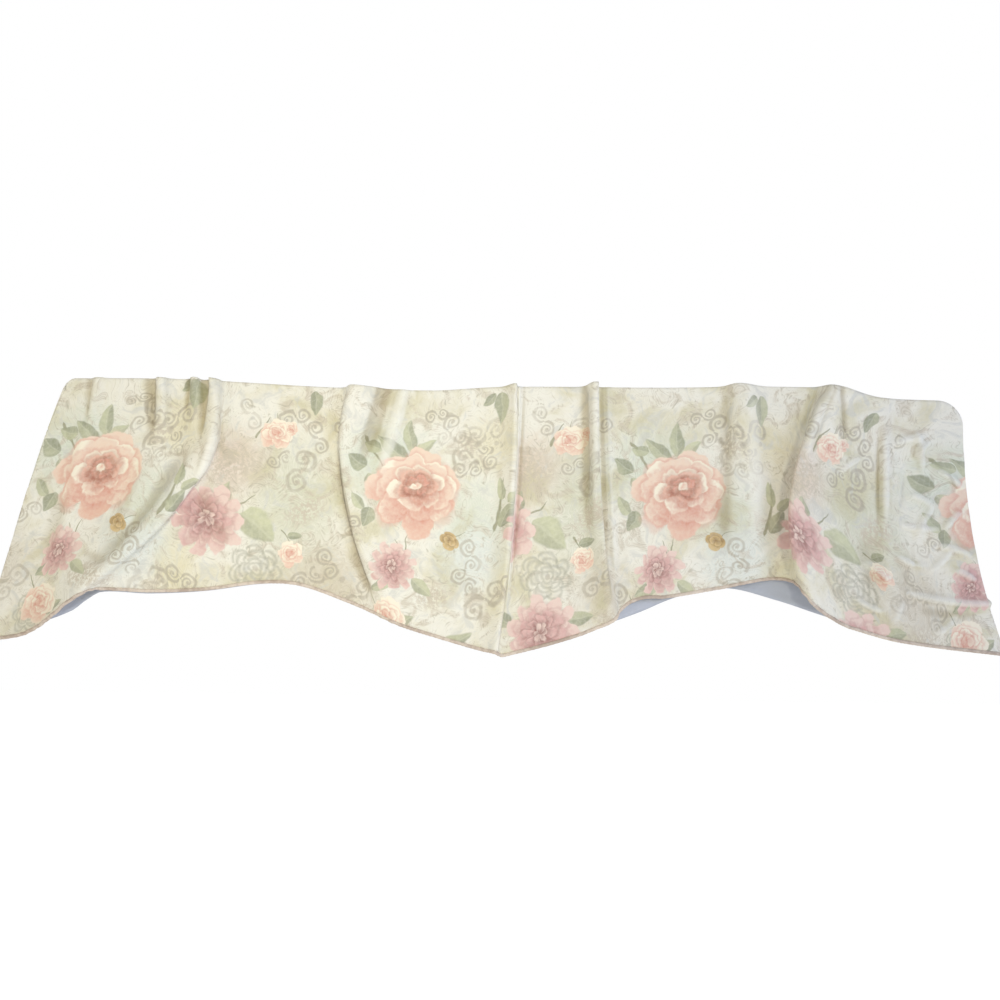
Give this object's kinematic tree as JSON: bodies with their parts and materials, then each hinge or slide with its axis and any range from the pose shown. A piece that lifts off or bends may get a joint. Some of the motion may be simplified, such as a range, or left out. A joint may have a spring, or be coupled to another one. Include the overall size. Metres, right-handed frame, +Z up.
{
  "type": "window valance",
  "caption": "Lined window valance in printed cotton that hangs by its top edge in uneven folds, its piped hem cut in arches with a centre point and longer side tails.",
  "frame": {"origin": "middle of the top edge, between the face cloth and the lining", "axes": "+X along the valance to the right as seen from the front, +Y from the face to the back, +Z up"},
  "size_m": [1.3213, 0.0731, 0.3601],
  "materials": {
    "printed_cotton": "matte printed cotton with a soft sheen",
    "lining_cotton": "matte plain cotton",
    "piping_cotton": "matte cotton over a thin cord"
  },
  "bodies": {
    "root": {"face_cloth": "printed_cotton", "lining": "lining_cotton", "hem_piping": "piping_cotton"}
  },
  "joints": []
}
